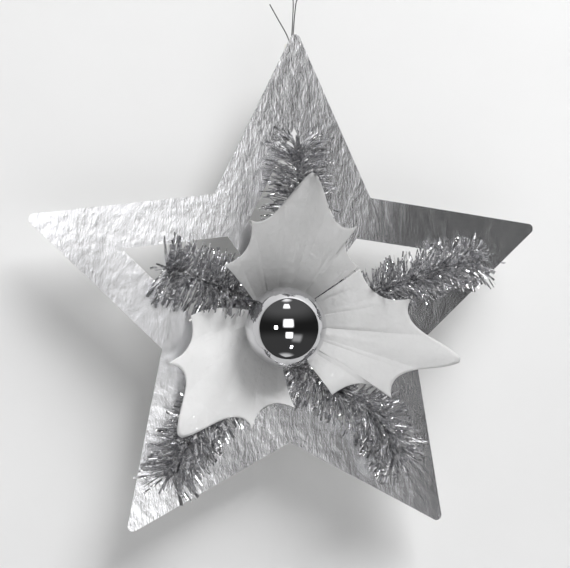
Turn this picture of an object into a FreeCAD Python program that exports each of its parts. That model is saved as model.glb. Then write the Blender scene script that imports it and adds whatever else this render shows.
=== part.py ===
import FreeCAD, Part
import math
import os
import Sketcher

from FreeCAD import Placement, Rotation, Vector

# Hanging star decoration of foil-faced card, with leaves, tinsel sprigs and a bauble.
# Lengths are in millimetres. +X is right, +Z is up and the front faces -Y.
# The origin is the crown of the thread loop that the star hangs from.

doc = FreeCAD.newDocument("hanging_star")


# Driving dimensions

plain_sizes = {
    # thread
    "thread_radius": 0.4,
    "thread_spacing": 0.95,      # between the two legs of the doubled thread
    "thread_end_right": -2.2,    # where the doubled thread ends, behind the top arm
    "thread_hold": 12.5,         # from the star's top tip down to that end
    "eye_half_width": 2.6,
    "eye_height": 9.5,
    "eye_bend": 5,
    "tail_end_right": -20,
    "tail_end_drop": 12,         # from the loop's crown down to the loose end
    "tail_bend": 25,
    "dab_radius": 5,
    "dab_height": 2.2,
    "dab_cover": 2.5,            # from the dab's middle up to its cut top
    # card
    "hang_drop": 243,            # from the loop's crown down to the star's centre
    "card_clear": 0.1,           # between the thread and the card's back
    "card_thickness": 1.2,
    "arm_count": 5,
    "tip_reach": 214,            # centre to a tip before it is rounded
    "notch_reach": 105,
    "tip_round": 4,
    "window_band": 33,           # from the star's edge to the window's edge
    "spoke_width": 20,
    "hub_reach": 46,             # centre to a window's inner edge
    # hub, low and left of the star's centre
    "hub_right": -13,
    "hub_up": -14,
    "hub_hole": 3.5,
    "pad_radius": 15,
    "pad_thickness": 2.4,
    "seat": 0.3,                 # gap left at each seat
    # bauble
    "bauble_radius": 30,
    "bauble_wall": 0.8,
    "neck_radius": 4.5,
    "neck_length": 3,
    "neck_root": 3,              # how far the neck reaches into the sphere's wall
    "cap_wall": 0.4,
    "wire_radius": 0.4,
    "wire_spread": 2,            # from the bauble's axis to each leg of the wire
    "wire_tail": 6,              # how far the legs reach into the bauble
    "blob_radius": 9,
    "blob_height": 4.2,
    # leaves
    "leaf_thickness": 0.5,
    "leaf_hole_clear": 0.4,
    "leaf_base": 13,
    "leaf_knee": 40,
    "knee_rise": 14,
    "edge_rise": 20,
    "knee_pleat": 1.5,
    "edge_pleat": 4,
    "leaf_tip_width": 3.4,
    "edge_curve": 9.5,           # depth of each curved bite in a leaf's edge
    "bite_steps": 8,
    "base_steps": 8,
    # tinsel
    "core_radius": 0.9,
    "core_start": 9,
    "core_lift": 14,             # from the card to a core's middle
    "core_bend": 24,
    "bore_clear": 0.9,
    "fringe_root": 3,
    "fringe_start": 20,
    "fringe_pitch": 9,
    "fringe_sides": 9,
    "fringe_twist": 17,
    "fringe_sector": 28,
    "card_space": 1,             # from the fringe's points to the card
    "leaf_space": 2,             # from the fringe's points to the leaves
    "cover_margin": 4,           # how far past a leaf's edge the fringe stays low
}

# Each leaf has its own place, length and spread; points are given from the hub as a reach
# and an angle away from the leaf's middle line.
leaf_sizes = {
    "leaf_top": {
        "layer": 2, "angle": 79.3, "length": 117,
        "first_left_reach": 83, "first_left_angle": 28.7,
        "second_left_reach": 64, "second_left_angle": 55.8,
        "waist_left": 56, "base_left": 66,
        "first_right_reach": 95.5, "first_right_angle": 26,
        "second_right_reach": 73.5, "second_right_angle": 41.7,
        "waist_right": 41, "base_right": 41,
    },
    "leaf_right": {
        "layer": 1, "angle": -10.5, "length": 143,
        "first_left_reach": 102.5, "first_left_angle": 22.3,
        "second_left_reach": 73.5, "second_left_angle": 47,
        "waist_left": 47.6, "base_left": 47.4,
        "first_right_reach": 101.5, "first_right_angle": 22,
        "second_right_reach": 64.5, "second_right_angle": 43,
        "waist_right": 42, "base_right": 40,
    },
    "leaf_low": {
        "layer": 0, "angle": -133.6, "length": 111.5,
        "first_left_reach": 79.5, "first_left_angle": 27,
        "second_left_reach": 62, "second_left_angle": 53.5,
        "waist_left": 49, "base_left": 49,
        "first_right_reach": 90, "first_right_angle": 28.6,
        "second_right_reach": 70, "second_right_angle": 53,
        "waist_right": 66, "base_right": 85,
    },
}

# A sprig's route is chosen by hand: reach from the hub and angle at each point.
sprigs = {
    "top": {"reach": 31, "lean_root": -12, "lean_end": 30,
            "route": [(30, 79), (85, 80), (138, 84)]},
    "left": {"reach": 30, "lean_root": 6, "lean_end": 8,
             "route": [(36, 141), (70, 151), (104, 154)]},
    "right": {"reach": 25, "lean_root": 10, "lean_end": 28,
              "route": [(35, 15.5), (80, 17.5), (128, 19.6), (172, 17.9)]},
    "low_right": {"reach": 29, "lean_root": 12, "lean_end": 30,
                  "route": [(34, -66), (76, -45), (106, -41), (142, -47)]},
    "low_left": {"reach": 31, "lean_root": 8, "lean_end": 32,
                 "route": [(35, -121), (95, -129.5), (142, -125.8)]},
}

stop_names = ("first", "second", "third", "fourth")

sheet = doc.addObject("Spreadsheet::Sheet", "sizes")


def fill_sheet():
    rows = dict(plain_sizes)
    for leaf, values in leaf_sizes.items():
        for key, number in values.items():
            rows[f"{leaf}_{key}"] = number
    for sprig, values in sprigs.items():
        for key in ("reach", "lean_root", "lean_end"):
            rows[f"sprig_{sprig}_{key}"] = values[key]
        for stop, (reach, angle) in zip(stop_names, values["route"]):
            rows[f"sprig_{sprig}_{stop}_reach"] = reach
            rows[f"sprig_{sprig}_{stop}_angle"] = angle
    for row, (alias, number) in enumerate(rows.items(), start=1):
        sheet.set(f"A{row}", alias)
        sheet.set(f"B{row}", str(number))
        sheet.setAlias(f"B{row}", alias)
    doc.recompute()


fill_sheet()


def size(alias):
    return float(sheet.get(alias))


# Formulas that several pieces share

back_face = "(-sizes.thread_radius - sizes.card_clear)"
front_face = f"({back_face} - sizes.card_thickness)"
pad_front = f"({front_face} - sizes.pad_thickness)"
core_plane = f"({pad_front} - sizes.seat - sizes.core_radius)"
stack_back = f"({core_plane} - sizes.core_radius - sizes.seat)"
layer_step = "(sizes.leaf_thickness + sizes.seat)"
stack_front = f"({stack_back} - 3 * {layer_step})"
cap_radius = "(sizes.neck_radius + sizes.seat + sizes.cap_wall)"
leaf_hole = f"({cap_radius} + sizes.leaf_hole_clear)"
bauble_middle = f"({stack_front} - sqrt(sizes.bauble_radius ^ 2 - {leaf_hole} ^ 2))"
neck_end = f"({bauble_middle} + sizes.bauble_radius + sizes.neck_length)"
cap_back = f"({neck_end} + sizes.seat + sizes.cap_wall)"
cap_height = "(sizes.neck_length + sizes.cap_wall)"
thread_end = "(sizes.hang_drop - sizes.tip_reach + sizes.thread_hold)"
hub_x = "sizes.hub_right"
hub_z = "(sizes.hub_up - sizes.hang_drop)"
notch_x = "sizes.notch_reach * sin(180deg / sizes.arm_count)"
notch_z = "sizes.notch_reach * cos(180deg / sizes.arm_count)"


def worth(formula):
    return float(sheet.evalExpression(formula))


hub = Vector(worth(hub_x), 0, worth(hub_z))


def around_hub(reach, degrees, depth):
    angle = math.radians(degrees)
    return hub + Vector(reach * math.cos(angle), depth, reach * math.sin(angle))


# Small helpers for bound objects

def bind(thing, formulas):
    for place, formula in formulas.items():
        thing.setExpression(place, formula)
    return thing


def bind_constraint(sketch, constraint, name, formula):
    sketch.renameConstraint(sketch.addConstraint(constraint), name)
    sketch.setExpression("Constraints." + name, formula)


def place_at(thing, x, y, z):
    return bind(thing, {"Placement.Base.x": x, "Placement.Base.y": y, "Placement.Base.z": z})


def rod(name, radius, length, x, y, z):
    # A cylinder that runs along +Y from the given place.
    thing = doc.addObject("Part::Cylinder", name)
    thing.Placement = Placement(Vector(), Rotation(Vector(1, 0, 0), -90))
    bind(thing, {"Radius": radius, "Height": length})
    return place_at(thing, x, y, z)


def ball(name, radius, y):
    thing = doc.addObject("Part::Sphere", name)
    bind(thing, {"Radius": radius})
    return place_at(thing, hub_x, y, hub_z)


def fused(name, things):
    result = doc.addObject("Part::MultiFuse", name)
    result.Shapes = things
    return result


def cut(name, base, tool):
    result = doc.addObject("Part::Cut", name)
    result.Base = base
    result.Tool = tool
    return result


def feature(name, shape):
    thing = doc.addObject("Part::Feature", name)
    thing.Shape = shape
    return thing


# Star card: one arm padded and repeated, its tip rounded, a window cut in each arm

def new_sketch(body, name):
    plane = next(item for item in body.Origin.OriginFeatures if item.Role == "XZ_Plane")
    sketch = body.newObject("Sketcher::SketchObject", name)
    sketch.AttachmentSupport = [(plane, "")]
    sketch.MapMode = "FlatFace"
    return sketch


def draw_lines(sketch, corners, closed=True):
    ends = corners[1:] + corners[:1] if closed else corners[1:]
    lines = [sketch.addGeometry(Part.LineSegment(Vector(*start, 0), Vector(*end, 0)), False)
             for start, end in zip(corners, ends)]
    for this, following in zip(lines, lines[1:]):
        sketch.addConstraint(Sketcher.Constraint("Coincident", this, 2, following, 1))
    if closed:
        sketch.addConstraint(Sketcher.Constraint("Coincident", lines[-1], 2, lines[0], 1))
    return lines


def around_centre(body, name, sketch, feature_to_repeat):
    pattern = body.newObject("PartDesign::PolarPattern", name)
    pattern.Originals = [feature_to_repeat]
    pattern.Axis = (sketch, ["N_Axis"])
    pattern.Angle = 360
    pattern.setExpression("Occurrences", "sizes.arm_count")
    body.Tip = pattern
    doc.recompute()
    return pattern


def draw_arm(body):
    sketch = new_sketch(body, "arm_outline")
    notch = (worth(notch_x), worth(notch_z))
    tip = (0, size("tip_reach"))
    right_root, right_edge, left_edge, left_root = draw_lines(
        sketch, [(0, 0), notch, tip, (-notch[0], notch[1])])
    sketch.addConstraint(Sketcher.Constraint("Coincident", right_root, 1, -1, 1))
    sketch.addConstraint(Sketcher.Constraint("PointOnObject", right_edge, 2, -2))
    sketch.addConstraint(Sketcher.Constraint("Symmetric", right_root, 2, left_root, 1, -2))
    bind_constraint(sketch, Sketcher.Constraint("DistanceX", -1, 1, right_root, 2, notch[0]),
                    "notch_out", notch_x)
    bind_constraint(sketch, Sketcher.Constraint("DistanceY", -1, 1, right_root, 2, notch[1]),
                    "notch_up", notch_z)
    bind_constraint(sketch, Sketcher.Constraint("DistanceY", -1, 1, right_edge, 2, tip[1]),
                    "tip_up", "sizes.tip_reach")
    return sketch


def window_corners():
    # Where the window's corners lie, worked out the way the sketch constrains them.
    half_step = math.pi / size("arm_count")
    notch_out, notch_up = worth(notch_x), worth(notch_z)
    half_tip = math.atan2(notch_out, size("tip_reach") - notch_up)
    peak = size("tip_reach") - size("window_band") / math.sin(half_tip)
    spoke = size("spoke_width") / 2
    run = (peak * math.sin(half_step) - spoke) / math.sin(half_tip + half_step)
    shoulder = (run * math.sin(half_tip), peak - run * math.cos(half_tip))
    inner_up = size("hub_reach")
    inner_out = inner_up * math.tan(half_step) - spoke / math.cos(half_step)
    return peak, shoulder, (inner_out, inner_up)


def draw_window(body):
    sketch = new_sketch(body, "window_outline")
    peak, shoulder, inner = window_corners()
    right_edge, right_spoke, inner_edge, left_spoke, left_edge = draw_lines(
        sketch, [(0, peak), shoulder, inner, (-inner[0], inner[1]), (-shoulder[0], shoulder[1])])
    notch = (worth(notch_x), worth(notch_z))
    star_edge, spoke_middle = draw_lines(
        sketch, [(0, size("tip_reach")), notch, (0, 0)], closed=False)
    sketch.setConstruction(star_edge, True)
    sketch.setConstruction(spoke_middle, True)
    for kind, *places in (
            ("PointOnObject", right_edge, 1, -2), ("PointOnObject", star_edge, 1, -2),
            ("Coincident", spoke_middle, 2, -1, 1),
            ("Parallel", right_edge, star_edge), ("Parallel", right_spoke, spoke_middle),
            ("Symmetric", right_edge, 2, left_edge, 1, -2),
            ("Symmetric", inner_edge, 1, inner_edge, 2, -2)):
        sketch.addConstraint(Sketcher.Constraint(kind, *places))
    bind_constraint(sketch, Sketcher.Constraint("DistanceX", -1, 1, star_edge, 2, notch[0]),
                    "notch_out", notch_x)
    bind_constraint(sketch, Sketcher.Constraint("DistanceY", -1, 1, star_edge, 2, notch[1]),
                    "notch_up", notch_z)
    bind_constraint(sketch, Sketcher.Constraint("DistanceY", -1, 1, star_edge, 1, size("tip_reach")),
                    "tip_up", "sizes.tip_reach")
    bind_constraint(sketch, Sketcher.Constraint("Distance", right_edge, 1, star_edge, size("window_band")),
                    "band", "sizes.window_band")
    bind_constraint(sketch, Sketcher.Constraint("Distance", right_spoke, 1, spoke_middle,
                                                size("spoke_width") / 2),
                    "half_spoke", "sizes.spoke_width / 2")
    bind_constraint(sketch, Sketcher.Constraint("DistanceY", -1, 1, inner_edge, 1, inner[1]),
                    "inner_up", "sizes.hub_reach")
    return sketch


def through_card(body, name, sketch):
    pocket = body.newObject("PartDesign::Pocket", name)
    pocket.Profile = sketch
    pocket.setExpression("Length", "sizes.card_thickness * 2")
    pocket.Reversed = True
    body.Tip = pocket
    doc.recompute()
    return pocket


def make_star_card():
    body = doc.addObject("PartDesign::Body", "star_card")
    arm_sketch = draw_arm(body)
    arm = body.newObject("PartDesign::Pad", "arm")
    arm.Profile = arm_sketch
    arm.setExpression("Length", "sizes.card_thickness")
    doc.recompute()
    arms = around_centre(body, "arms", arm_sketch, arm)
    tips = [f"Edge{number}" for number, edge in enumerate(arms.Shape.Edges, start=1)
            if all(abs(math.hypot(end.X, end.Z) - size("tip_reach")) < 1e-3 for end in edge.Vertexes)]
    rounding = body.newObject("PartDesign::Fillet", "rounded_tips")
    rounding.Base = (arms, tips)
    rounding.setExpression("Radius", "sizes.tip_round")
    body.Tip = rounding
    doc.recompute()
    whole = rounding.Shape.Volume
    window_sketch = draw_window(body)
    window = through_card(body, "window", window_sketch)
    one_window = whole - window.Shape.Volume
    windows = around_centre(body, "windows", window_sketch, window)
    if abs(whole - windows.Shape.Volume - size("arm_count") * one_window) > 1 or one_window < 1:
        raise ValueError("the windows are not all cut")
    hole_sketch = new_sketch(body, "hub_hole_outline")
    centre = Vector(size("hub_right"), size("hub_up"), 0)
    hole_sketch.addGeometry(Part.Circle(centre, Vector(0, 0, 1), size("hub_hole")), False)
    bind_constraint(hole_sketch, Sketcher.Constraint("DistanceX", -1, 1, 0, 3, centre.x),
                    "right", "sizes.hub_right")
    bind_constraint(hole_sketch, Sketcher.Constraint("DistanceY", -1, 1, 0, 3, centre.y),
                    "up", "sizes.hub_up")
    bind_constraint(hole_sketch, Sketcher.Constraint("Radius", 0, size("hub_hole")),
                    "hole", "sizes.hub_hole")
    through_card(body, "hub_hole", hole_sketch)
    place_at(body, "0", back_face, "-sizes.hang_drop")
    return body


# Bauble: a blown hollow ball with a short open neck, its cap, and the wire that holds it

def make_bauble():
    outside = ball("bauble_outside", "sizes.bauble_radius", bauble_middle)
    inside = ball("bauble_inside", "sizes.bauble_radius - sizes.bauble_wall", bauble_middle)
    neck_start = f"({bauble_middle} + sizes.bauble_radius - sizes.neck_root)"
    neck = rod("bauble_neck", "sizes.neck_radius", "sizes.neck_root + sizes.neck_length",
               hub_x, neck_start, hub_z)
    bore = rod("bauble_bore", "sizes.neck_radius - sizes.bauble_wall",
               "sizes.neck_root + sizes.neck_length + 1", hub_x, neck_start, hub_z)
    return cut("bauble", fused("bauble_solid", [outside, neck]), fused("bauble_hollow", [inside, bore]))


def wire_loop(name, radius):
    # Two legs from inside the bauble, joined by a half ring behind the card.
    start = f"({neck_end} - sizes.wire_tail)"
    length = f"({back_face} - {start})"
    legs = [rod(f"{name}_leg_{side}", radius, length, f"{hub_x} {sign} sizes.wire_spread", start, hub_z)
            for side, sign in (("left", "-"), ("right", "+"))]
    crown = doc.addObject("Part::Torus", f"{name}_crown")
    crown.Placement = Placement(Vector(), Rotation(Vector(1, 0, 0), 0))
    crown.Angle3 = 180
    bind(crown, {"Radius1": "sizes.wire_spread", "Radius2": radius})
    place_at(crown, hub_x, back_face, hub_z)
    return fused(name, legs + [crown])


def make_cap():
    front = f"{cap_back} - {cap_height}"
    shell = rod("cap_outside", cap_radius, cap_height, hub_x, front, hub_z)
    hollow = rod("cap_inside", f"{cap_radius} - sizes.cap_wall", cap_height,
                 hub_x, f"{front} - sizes.cap_wall", hub_z)
    holes = wire_loop("cap_wire_way", "sizes.wire_radius + sizes.seat")
    return cut("bauble_cap", shell, fused("cap_hollow", [hollow, holes]))


def make_front_pad():
    pad = rod("pad_outside", "sizes.pad_radius", "sizes.pad_thickness", hub_x, pad_front, hub_z)
    way = rod("pad_way", "sizes.hub_hole", "sizes.pad_thickness", hub_x, pad_front, hub_z)
    return cut("hub_glue_front", pad, way)


def dome(name, radius, height, x, z):
    # Half an ellipsoid that stands on the card's back.
    thing = doc.addObject("Part::Ellipsoid", name)
    thing.Placement = Placement(Vector(), Rotation(Vector(1, 0, 0), -90))
    thing.Angle1 = 0
    bind(thing, {"Radius1": height, "Radius2": radius, "Radius3": radius})
    return place_at(thing, x, back_face, z)


def make_back_blob():
    blob = dome("blob_outside", "sizes.blob_radius", "sizes.blob_height", hub_x, hub_z)
    return cut("hub_glue_back", blob, wire_loop("blob_wire_way", "sizes.wire_radius + sizes.seat"))


# Leaves: thin pressed sheet, pleated from the hub to each point of the edge

def bite(start, end, depth, count):
    # A circular bite between two points of the edge, hollow towards the hub, as even points.
    chord = end.sub(start)
    half = chord.Length / 2
    radius = (half ** 2 + depth ** 2) / (2 * depth)
    middle = (start + end) * 0.5
    outward = Vector(chord.z, 0, -chord.x).normalize()
    if outward.dot(middle) < 0:
        outward = outward.negative()
    centre = middle + outward * (radius - depth)
    half_turn = math.asin(half / radius)
    along = Vector(chord).normalize()
    turns = (half_turn * (2 * step / count - 1) for step in range(count + 1))
    return [centre + (outward * -math.cos(turn) + along * math.sin(turn)) * radius for turn in turns]


def flat_point(leaf, reach, degrees):
    angle = math.radians(size(f"{leaf}_angle") + degrees)
    return Vector(reach * math.cos(angle), 0, reach * math.sin(angle))


def leaf_edge(leaf):
    # The edge's points from the right waist round the tip to the left one, seen from the hub.
    # Each is given with its fold: 0 on a ridge, which runs to a point, and 1 in the valley between.
    def corner(side, which):
        sign = -1 if side == "right" else 1
        return flat_point(leaf, size(f"{leaf}_{which}_{side}_reach"),
                          sign * size(f"{leaf}_{which}_{side}_angle"))

    length, count = size(f"{leaf}_length"), int(size("bite_steps"))
    half_tip = math.degrees(math.asin(size("leaf_tip_width") / 2 / length))
    right_tip, left_tip = flat_point(leaf, length, -half_tip), flat_point(leaf, length, half_tip)
    first_right, first_left = corner("right", "first"), corner("left", "first")
    edge = []
    for start, end in ((corner("right", "second"), first_right), (first_right, right_tip),
                       (left_tip, first_left), (first_left, corner("left", "second"))):
        points = bite(start, end, size("edge_curve"), count)
        folds = [1 - abs(2 * step / count - 1) for step in range(count + 1)]
        joined = 1 if edge and edge[-1][0].isEqual(points[0], 1e-6) else 0
        edge += list(zip(points, folds))[joined:]
    return edge


def leaf_back(leaf):
    return worth(stack_back) - size(f"{leaf}_layer") * worth(layer_step)


def from_facets(name, points, facets):
    # A closed solid of flat three-sided faces.
    shape = Part.Shape()
    shape.makeShapeFromMesh((points, facets), 0.001)
    solid = Part.Solid(shape.Shells[0])
    if solid.Volume < 0:
        solid.reverse()
    return feature(name, solid)


def make_leaf(leaf):
    edge = leaf_edge(leaf)
    floor = leaf_back(leaf) - size("leaf_thickness")
    middle = math.radians(size(f"{leaf}_angle"))
    spread = [math.remainder(math.atan2(point.z, point.x) - middle, 2 * math.pi) for point, _ in edge]

    def even_angles(right, left):
        # The edge's own angles, squeezed to lie between two given ones.
        share = [(angle - spread[0]) / (spread[-1] - spread[0]) for angle in spread]
        return [middle - math.radians(right) + math.radians(right + left) * part for part in share]

    def ring(radius, angles, depths):
        return [hub + Vector(radius * math.cos(angle), depth, radius * math.sin(angle))
                for angle, depth in zip(angles, depths)]

    waist = even_angles(size(f"{leaf}_waist_right"), size(f"{leaf}_waist_left"))
    base = even_angles(size(f"{leaf}_base_right"), size(f"{leaf}_base_left"))
    rest = int(size("base_steps"))
    gap = base[0] + 2 * math.pi - base[-1]
    round_hub = base + [base[-1] + gap * step / rest for step in range(1, rest)]
    level = [floor] * len(round_hub)
    knee_depths = [floor - size("knee_rise") + (fold - 0.5) * size("knee_pleat") for _, fold in edge]
    edge_depths = [floor - size("edge_rise") + (fold - 0.5) * size("edge_pleat") for _, fold in edge]
    outer = [hub + Vector(point.x, depth, point.z) for (point, _), depth in zip(edge, edge_depths)]
    front = (ring(worth(leaf_hole), round_hub, level) + ring(size("leaf_base"), round_hub, level)
             + ring(size("leaf_knee"), waist, knee_depths) + outer)

    turn, span = len(round_hub), len(edge)
    quads = [(step, (step + 1) % turn, turn + (step + 1) % turn, turn + step) for step in range(turn)]
    for low, high in ((turn, 2 * turn), (2 * turn, 2 * turn + span)):
        quads += [(low + step, low + step + 1, high + step + 1, high + step) for step in range(span - 1)]
    hole_rim = [((step + 1) % turn, step) for step in range(turn)]
    last = 2 * turn + 2 * span - 1
    rim = [(turn + step, turn + (step + 1) % turn) for step in range(span - 1, turn)]
    rim += [(turn, 2 * turn), (2 * turn, 2 * turn + span)]
    rim += [(step, step + 1) for step in range(2 * turn + span, last)]
    rim += [(last, last - span), (last - span, turn + span - 1)]

    count = len(front)
    through = Vector(0, size("leaf_thickness"), 0)
    points = front + [point + through for point in front]
    facets = []
    for one, two, three, four in quads:
        facets += [(one, two, three), (one, three, four)]
        facets += [(count + three, count + two, count + one), (count + four, count + three, count + one)]
    for one, two in hole_rim + rim:
        facets += [(one, count + one, count + two), (one, count + two, two)]
    return from_facets(leaf, points, facets)


# Tinsel: a twisted wire core along a bent route, and the cut foil fringe round it

def bent_route(points, bend):
    # Straight runs joined by tangent arcs.
    edges = []
    start = points[0]
    for corner, following in zip(points[1:-1], points[2:]):
        back_way = Vector(start.sub(corner)).normalize()
        on_way = Vector(following.sub(corner)).normalize()
        half_turn = (math.pi - back_way.getAngle(on_way)) / 2
        shorter = min(start.sub(corner).Length, following.sub(corner).Length)
        tangent = min(bend * math.tan(half_turn), 0.45 * shorter)
        radius = tangent / math.tan(half_turn)
        to_middle = Vector(back_way + on_way).normalize()
        near = corner + back_way * tangent
        far = corner + on_way * tangent
        top = corner + to_middle * (radius / math.cos(half_turn) - radius)
        edges.append(Part.LineSegment(start, near).toShape())
        edges.append(Part.Arc(near, top, far).toShape())
        start = far
    edges.append(Part.LineSegment(start, points[-1]).toShape())
    return Part.Wire(edges)


def tube(route, radius):
    start = route.Vertexes[0].Point
    direction = route.Edges[0].tangentAt(route.Edges[0].FirstParameter)
    ring = Part.Wire(Part.Circle(start, direction, radius).toShape())
    solid = route.makePipeShell([ring], True, False)
    if abs(solid.Volume / (math.pi * radius ** 2 * route.Length) - 1) > 0.01:
        raise ValueError("a tube has not kept its section")
    return solid


def sprig_route(sprig):
    lifted = worth(front_face) - size("core_lift")
    stops = [(size(f"sprig_{sprig}_{stop}_reach"), size(f"sprig_{sprig}_{stop}_angle"))
             for stop, _ in zip(stop_names, sprigs[sprig]["route"])]
    first_reach, first_angle = stops[0]
    points = [around_hub(size("core_start"), first_angle, worth(core_plane)),
              around_hub(size("pad_radius"), first_angle, worth(core_plane)),
              around_hub(first_reach, first_angle, (worth(core_plane) + lifted) / 2)]
    points += [around_hub(reach, angle, lifted) for reach, angle in stops[1:]]
    return bent_route(points, size("core_bend"))


def inside(point, polygon):
    crossings = 0
    for one, two in zip(polygon, polygon[1:] + polygon[:1]):
        if (one.z > point.z) != (two.z > point.z):
            if point.x < one.x + (point.z - one.z) / (two.z - one.z) * (two.x - one.x):
                crossings += 1
    return crossings % 2 == 1


def covered(point, polygon):
    # True inside the polygon, or within the margin of it to the right, left, top or bottom.
    margin = size("cover_margin")
    steps = ((0, 0), (1, 0), (-1, 0), (0, 1), (0, -1))
    return any(inside(point + Vector(right, 0, up) * margin, polygon) for right, up in steps)


leaf_outlines = {leaf: [point for point, _ in leaf_edge(leaf)] + [Vector()] for leaf in leaf_sizes}


def under_leaf(leaf, reach):
    # How far forward the leaf's back stands at this reach from the hub, at its least.
    knee, rise = size("leaf_knee"), size("knee_rise") - size("knee_pleat")
    if reach < knee:
        return rise * max(0, reach - size("leaf_base")) / (knee - size("leaf_base"))
    top = size("edge_rise") - size("edge_pleat")
    share = min(1, (reach - knee) / (size(f"{leaf}_length") - knee))
    return min(rise, top) + max(0, top - rise) * share


def has_room(point, own_angle):
    # True where the fringe may reach: clear of the card, the leaves, the bauble and other sprigs.
    if point.y > worth(front_face) - size("card_space"):
        return False
    flat = Vector(point.x - hub.x, 0, point.z - hub.z)
    angle = math.degrees(math.atan2(flat.z, flat.x))
    if abs(math.remainder(angle - own_angle, 360)) > size("fringe_sector"):
        return False
    if flat.Length < size("bauble_radius") + 4 and point.y < leaf_back("leaf_low") + size("leaf_space"):
        return False
    for leaf, outline in leaf_outlines.items():
        limit = leaf_back(leaf) - under_leaf(leaf, flat.Length) + size("leaf_space")
        if point.y < limit and covered(flat, outline):
            return False
    return True


def make_fringe(sprig, route):
    sides, pitch = int(size("fringe_sides")), size("fringe_pitch")
    reach = size(f"sprig_{sprig}_reach")
    run = route.Length - size("fringe_start")
    rings = max(2, round(run / pitch))
    middles = route.discretize(Number=int(route.Length) + 1)
    stations, tangents = [], []
    for ring in range(rings + 1):
        place = (size("fringe_start") + run * ring / rings) / route.Length * (len(middles) - 1)
        low = min(int(place), len(middles) - 2)
        stations.append(middles[low] + (middles[low + 1] - middles[low]) * (place - low))
        before, after = middles[max(low - 2, 0)], middles[min(low + 3, len(middles) - 1)]
        tangents.append(Vector(after - before).normalize())
    forward = Vector(0, -1, 0)
    samples = [part / 12 for part in range(3, 13)]

    def around(ring, side, radius):
        tangent = tangents[ring]
        across = tangent.cross(forward).normalize()
        up = across.cross(tangent)
        turn = math.radians(360 * side / sides + size("fringe_twist") * ring)
        return across * (math.cos(turn) * radius) + up * (math.sin(turn) * radius)

    points, facets = [], []
    for radius in (size("fringe_root"), size("core_radius") + size("bore_clear")):
        for ring in range(rings + 1):
            points += [stations[ring] + around(ring, side, radius) for side in range(sides)]
    inner = (rings + 1) * sides
    for ring in range(rings):
        share = ring / (rings - 1)
        lean = size(f"sprig_{sprig}_lean_root") * (1 - share) + size(f"sprig_{sprig}_lean_end") * share
        foot = (stations[ring] + stations[ring + 1]) * 0.5
        flat_foot = foot - hub
        own_angle = math.degrees(math.atan2(flat_foot.z, flat_foot.x))
        for side in range(sides):
            following = (side + 1) % sides
            outward = around(ring, side + 0.5, 1) + around(ring + 1, side + 0.5, 1)
            outward.normalize()
            tilt = math.radians(lean)
            way = outward * math.cos(tilt) + tangents[ring] * math.sin(tilt)
            longest = reach * (1 - 0.12 * ((ring * 2 + side * 3) % 4) / 3)
            length = longest
            while length > 1.3 * size("fringe_root") and not all(
                    has_room(foot + way * (length * part), own_angle) for part in samples):
                length -= longest / 30
            points.append(foot + way * length)
            apex = len(points) - 1
            quad = [ring * sides + side, ring * sides + following,
                    (ring + 1) * sides + following, (ring + 1) * sides + side]
            facets += [(one, two, apex) for one, two in zip(quad, quad[1:] + quad[:1])]
            bore = [inner + corner for corner in quad]
            facets += [(bore[0], bore[2], bore[1]), (bore[0], bore[3], bore[2])]
    for ring, flip in ((0, False), (rings, True)):
        for side in range(sides):
            following = (side + 1) % sides
            one, two = ring * sides + side, ring * sides + following
            ends = [(one, two, inner + two), (one, inner + two, inner + one)]
            facets += ends if flip else [facet[::-1] for facet in ends]
    return from_facets(f"tinsel_fringe_{sprig}", points, facets)


# Thread: doubled from the back of the top arm up to its eye, and one loose end

def make_thread():
    half = size("thread_spacing") / 2
    end_x, end_z = size("thread_end_right"), -worth(thread_end)
    eye, tall = size("eye_half_width"), size("eye_height")
    neck_x = end_x * tall / worth(thread_end)
    points = [(end_x - half, end_z), (neck_x - half, -tall), (-eye, -0.62 * tall), (-eye, -0.2 * tall),
              (-0.62 * eye, 0), (0.62 * eye, 0), (eye, -0.2 * tall), (eye, -0.62 * tall),
              (neck_x + half, -tall), (end_x + half, end_z)]
    route = bent_route([Vector(x, 0, z) for x, z in points], size("eye_bend"))
    print("hanging_thread length", round(route.Length, 1))
    return feature("hanging_thread", tube(route, size("thread_radius")))


def make_tail():
    # The way from the dab to the loose end bows a little, as shares of its width and its height.
    start = Vector(size("thread_end_right") - 1.55 * size("thread_spacing"), 0, -worth(thread_end))
    way = Vector(size("tail_end_right"), 0, -size("tail_end_drop")) - start
    shares = ((0, 0), (0.106, 0.203), (0.547, 0.58), (1, 1))
    points = [start + Vector(way.x * wide, 0, way.z * high) for wide, high in shares]
    route = bent_route(points, size("tail_bend"))
    print("thread_tail length", round(route.Length, 1))
    return feature("thread_tail", tube(route, size("thread_radius")))


def make_thread_dab():
    middle_z = f"(-{thread_end} - sizes.dab_cover)"
    middle_x = "(sizes.thread_end_right - sizes.thread_spacing)"
    dab = dome("dab_whole", "sizes.dab_radius", "sizes.dab_height", middle_x, middle_z)
    above = doc.addObject("Part::Box", "dab_above")
    bind(above, {"Length": "3 * sizes.dab_radius", "Width": "3 * sizes.dab_height",
                 "Height": "sizes.dab_radius"})
    place_at(above, f"{middle_x} - 1.5 * sizes.dab_radius", f"{back_face} - sizes.dab_height",
             f"-{thread_end} - sizes.seat")
    return cut("thread_glue", dab, above)


# Assembly

pieces = [make_star_card(), make_front_pad(), make_back_blob(), make_bauble(), make_cap(),
          wire_loop("bauble_hanger", "sizes.wire_radius")]
pieces += [make_leaf(leaf) for leaf in leaf_sizes]
for sprig in sprigs:
    route = sprig_route(sprig)
    pieces.append(feature(f"tinsel_core_{sprig}", tube(route, size("core_radius"))))
    pieces.append(make_fringe(sprig, route))
pieces += [make_thread(), make_tail(), make_thread_dab()]

doc.recompute()

for thing in doc.Objects:
    if "Invalid" in thing.State or "Error" in thing.State:
        raise ValueError(f"{thing.Name} did not recompute")

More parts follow.
